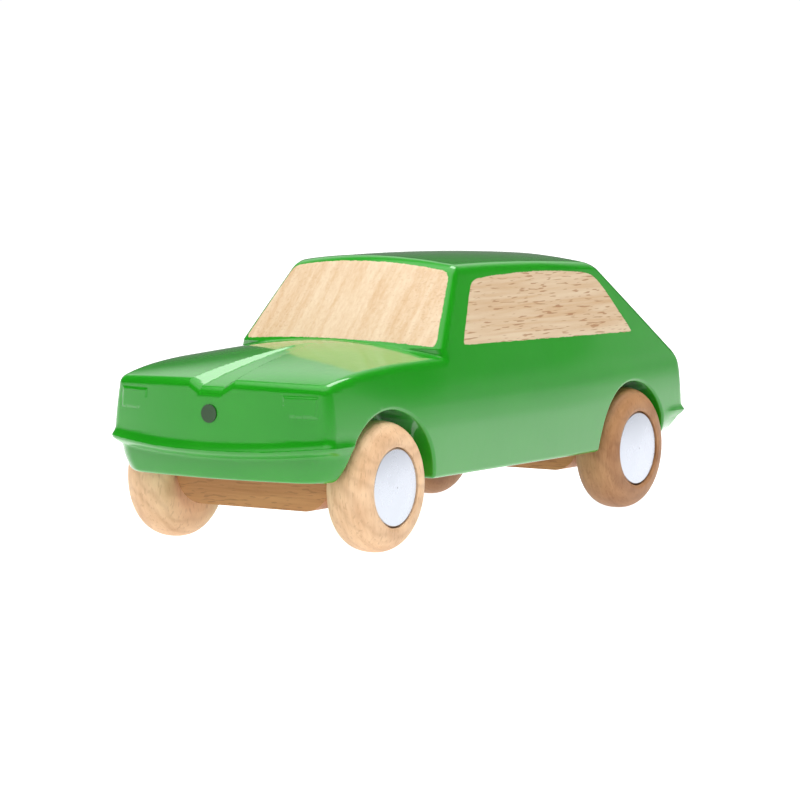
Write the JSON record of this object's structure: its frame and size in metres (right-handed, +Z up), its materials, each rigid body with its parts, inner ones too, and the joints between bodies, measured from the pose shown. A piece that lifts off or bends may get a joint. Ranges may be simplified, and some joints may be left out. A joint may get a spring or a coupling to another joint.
{
  "type": "pull back car",
  "caption": "Wooden fastback toy car on turned wheels; rolling it backwards winds a spring motor on the rear axle that drives it forward.",
  "frame": {"origin": "on the floor under the middle of the car's bounding box", "axes": "+Z up, front of the car towards -Y, +X towards the car's left side"},
  "size_m": [0.0582, 0.1462, 0.0562],
  "materials": {
    "paint_and_wood": "green gloss lacquer on beech, window panes left bare",
    "beech": "satin",
    "steel": "bright",
    "cap_metal": "satin, slightly domed",
    "nylon": "matte",
    "case_plastic": "matte",
    "gear_plastic": "matte",
    "spring_steel": "blued",
    "badge": "printed dot"
  },
  "bodies": {
    "car": {"body": "paint_and_wood", "nose_badge": "badge", "front_axle_block": "beech", "rear_axle_block": "beech", "front_bush_left": "nylon", "front_bush_right": "nylon", "rear_bush_left": "nylon", "rear_bush_right": "nylon", "motor_case_left": "case_plastic", "motor_case_right": "case_plastic", "case_screws": "steel", "idler_shaft": "steel", "barrel_arbor": "steel", "motor_screws": "steel", "front_block_screws": "steel", "rear_block_screws": "steel"},
    "front_wheelset": {"front_axle": "steel", "front_spacers": "nylon", "wheel_front_left": "beech", "wheel_front_right": "beech", "hub_cap_front_left": "cap_metal", "hub_cap_front_right": "cap_metal"},
    "rear_wheelset": {"rear_axle": "steel", "rear_spacers": "nylon", "wheel_rear_left": "beech", "wheel_rear_right": "beech", "hub_cap_rear_left": "cap_metal", "hub_cap_rear_right": "cap_metal", "axle_pinion": "gear_plastic"},
    "idler": {"idler_gear": "gear_plastic"},
    "barrel": {"spring_barrel": "gear_plastic", "mainspring": "spring_steel"}
  },
  "joints": [
    {"name": "front_axle_spin", "type": "hinge", "parent": "car", "child": "front_wheelset", "pos_m": [0, -0.0495, 0.013], "axis": [1, 0, 0], "continuous": true},
    {"name": "rear_axle_spin", "type": "hinge", "parent": "car", "child": "rear_wheelset", "pos_m": [0, 0.0465, 0.013], "axis": [1, 0, 0], "continuous": true},
    {"name": "idler_spin", "type": "hinge", "parent": "car", "child": "idler", "pos_m": [0.001, 0.04476, 0.02285], "axis": [1, 0, 0], "continuous": true},
    {"name": "barrel_spin", "type": "hinge", "parent": "car", "child": "barrel", "pos_m": [-0.005, 0.03477, 0.0232], "axis": [1, 0, 0], "continuous": true}
  ],
  "couplings": [
    {"joint": "idler_spin", "follows": "rear_axle_spin", "ratio": -0.33333},
    {"joint": "barrel_spin", "follows": "rear_axle_spin", "ratio": 0.11111}
  ]
}
